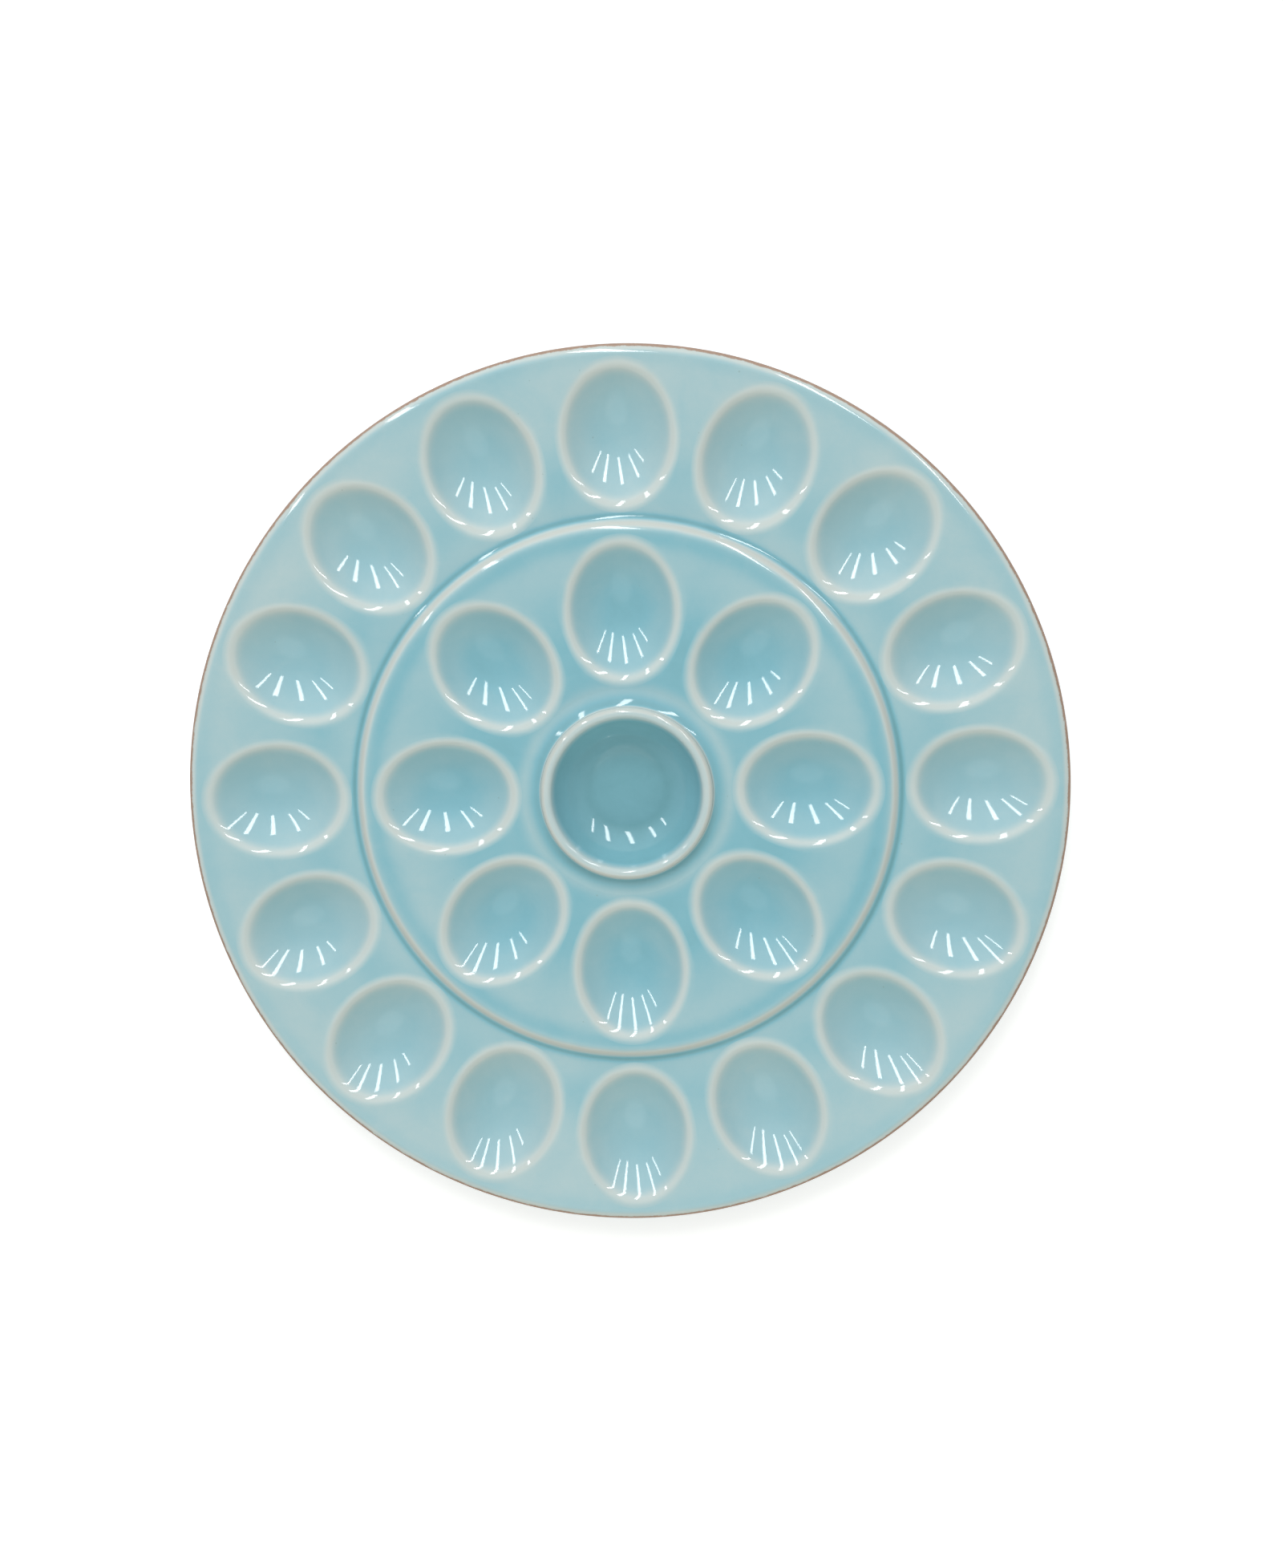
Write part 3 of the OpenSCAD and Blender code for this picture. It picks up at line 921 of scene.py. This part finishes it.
class PLATTER_OT_stage(bpy.types.Operator):
    """Adds the floor, the camera, the lamps and the soft light of the room"""
    bl_idname = "platter.stage"
    bl_label = "Stage"

    def execute(self, context):
        look = context.scene.platter_stage
        deselect()
        bpy.ops.mesh.primitive_plane_add(size=FLOOR_SIZE, location=(0, 0, 0))
        floor = context.object
        floor.name = "pale_floor"
        floor.data.materials.append(floor_material())

        right, up, back = camera_axes()
        eye = Vector(CAMERA_AIM) + back * CAMERA_AWAY
        bpy.ops.object.camera_add(location=eye)
        camera = context.object
        camera.matrix_world = aimed(eye, right, up, back)
        camera.data.sensor_fit = "VERTICAL"
        camera.data.sensor_height = SENSOR_HIGH
        camera.data.lens = FOCAL_PIXELS / PHOTO_HIGH * SENSOR_HIGH
        camera.data.clip_start = 10 * MM
        camera.data.dof.use_dof = False
        context.scene.camera = camera

        east = Vector((math.sin(CAMERA_ROLL), -math.cos(CAMERA_ROLL), 0))
        north = Vector((math.cos(CAMERA_ROLL), math.sin(CAMERA_ROLL), 0))
        lean = LAMP_LEAN[0] * east + LAMP_LEAN[1] * north + Vector((0, 0, 1))
        for i, (place, low, high, width) in enumerate(LAMPS):
            stand = place * east + LAMP_ROW_NORTH * north
            ends = (stand + low * lean, stand + high * lean)
            strip_lamp(f"strip_lamp_{i + 1}", *ends, width, look.lamp_radiance)
        soft_lamp("key_lamp", azimuth=101, elevation=46, size=1.6, light=look.key, tint=(1.0, 1.0, 1.0))
        soft_lamp("fill_lamp", azimuth=280, elevation=24, size=1.8, light=look.fill, tint=(1.0, 0.98, 0.80))

        world = context.scene.world or bpy.data.worlds.new("room")
        context.scene.world = world
        world.use_nodes = True
        room_light(world, look.room)
        context.scene.view_settings.view_transform = "Standard"
        return {"FINISHED"}


def area_lamp(name, shape, size, energy):
    data = bpy.data.lights.new(name, "AREA")
    data.shape = shape
    data.size, data.size_y = size
    data.energy = energy
    lamp = bpy.data.objects.new(name, data)
    bpy.context.scene.collection.objects.link(lamp)
    return lamp


def strip_lamp(name, near, far, width, radiance):
    """A flat strip between two points that faces the platter, and is only mirrored in the glaze."""
    middle = (near + far) / 2
    long = (far - near).length
    along = (far - near) / long
    across = along.cross(middle).normalized()
    lamp = area_lamp(name, "RECTANGLE", (width, long), radiance * math.pi * width * long)
    lamp.matrix_world = aimed(middle, across, along, across.cross(along))
    lamp.visible_diffuse = False


def soft_lamp(name, azimuth, elevation, size, light, tint):
    """A big soft lamp that gives the floor so much light, and isn't mirrored in the glaze."""
    azimuth, elevation = math.radians(azimuth), math.radians(elevation)
    aim = towards(azimuth, elevation)
    across = towards(azimuth + TURN / 4, 0)
    energy = light * (math.pi * SOFT_LAMP_AWAY) ** 2 / math.sin(elevation)
    lamp = area_lamp(name, "SQUARE", (size, size), energy)
    lamp.data.color = tint
    lamp.matrix_world = aimed(aim * SOFT_LAMP_AWAY, across, aim.cross(across), aim)
    lamp.visible_glossy = False


def room_light(world, strength):
    """Soft light all round: a pale wall behind the lamps, a lit ceiling, and less light in the south-east."""
    tree = world.node_tree
    tree.nodes.clear()

    def add(kind, *links, **settings):
        node = tree.nodes.new(kind)
        for key, value in settings.items():
            setattr(node, key, value)
        for key, value in links:
            if isinstance(value, bpy.types.NodeSocket):
                tree.links.new(value, node.inputs[key])
            else:
                node.inputs[key].default_value = value
        return node

    place = add("ShaderNodeTexCoord").outputs["Generated"]

    def combined(operation, *values):
        return add("ShaderNodeMath", *enumerate(values), operation=operation).outputs[0]

    def facing(part):
        return add("ShaderNodeVectorMath", (0, place), (1, part[0]), operation="DOT_PRODUCT").outputs["Value"]

    def lit(part, cosine):
        _, (low, high), (dim, bright) = part
        return add("ShaderNodeMapRange", ("Value", cosine), ("From Min", low), ("From Max", high),
                   ("To Min", dim), ("To Max", bright), interpolation_type="SMOOTHSTEP").outputs["Result"]

    uneven = add("ShaderNodeTexNoise", ("Vector", place), ("Scale", 4.2), ("Detail", 4.0)).outputs["Fac"]
    edge = combined("MULTIPLY_ADD", uneven, OPEN_SIDE_NOISE, facing(OPEN_SIDE))
    level = combined("ADD", lit(OPEN_SIDE, edge), lit(WALL, facing(WALL)))
    level = combined("ADD", level, lit(CEILING, facing(CEILING)))
    background = add("ShaderNodeBackground", ("Strength", combined("MULTIPLY", level, strength)),
                     ("Color", rgba((0.98, 1.0, 1.0))))
    add("ShaderNodeOutputWorld", ("Surface", background.outputs[0]))


class PLATTER_PT_panel(bpy.types.Panel):
    """Lists the steps that build the platter and the values they use"""
    bl_idname = "PLATTER_PT_panel"
    bl_label = "Egg platter"
    bl_space_type = "VIEW_3D"
    bl_region_type = "UI"
    bl_category = "Platter"

    def draw(self, context):
        column = self.layout.column(align=True)
        for operator in OPERATORS:
            column.operator(operator.bl_idname)
        for group in (context.scene.platter_sizes, context.scene.platter_glaze, context.scene.platter_stage):
            box = self.layout.box()
            for name in group.__annotations__:
                box.prop(group, name)


OPERATORS = (
    PLATTER_OT_dip_cup,
    PLATTER_OT_inner_wells,
    PLATTER_OT_divider_ridge,
    PLATTER_OT_foot_ring,
    PLATTER_OT_outer_wells,
    PLATTER_OT_rim_edge,
    PLATTER_OT_stage,
)
CLASSES = (PlatterSizes, GlazeLook, StageLook, *OPERATORS, PLATTER_PT_panel)


def register():
    for item in CLASSES:
        bpy.utils.register_class(item)
    bpy.types.Scene.platter_sizes = bpy.props.PointerProperty(type=PlatterSizes)
    bpy.types.Scene.platter_glaze = bpy.props.PointerProperty(type=GlazeLook)
    bpy.types.Scene.platter_stage = bpy.props.PointerProperty(type=StageLook)


def unregister():
    for name in ("platter_sizes", "platter_glaze", "platter_stage"):
        delattr(bpy.types.Scene, name)
    for item in reversed(CLASSES):
        bpy.utils.unregister_class(item)


def main():
    register()
    bpy.ops.platter.dip_cup()
    bpy.ops.platter.inner_wells()
    bpy.ops.platter.divider_ridge()
    bpy.ops.platter.foot_ring()
    bpy.ops.platter.outer_wells()
    bpy.ops.platter.rim_edge()
    bpy.ops.platter.stage()


if __name__ == "__main__":
    main()
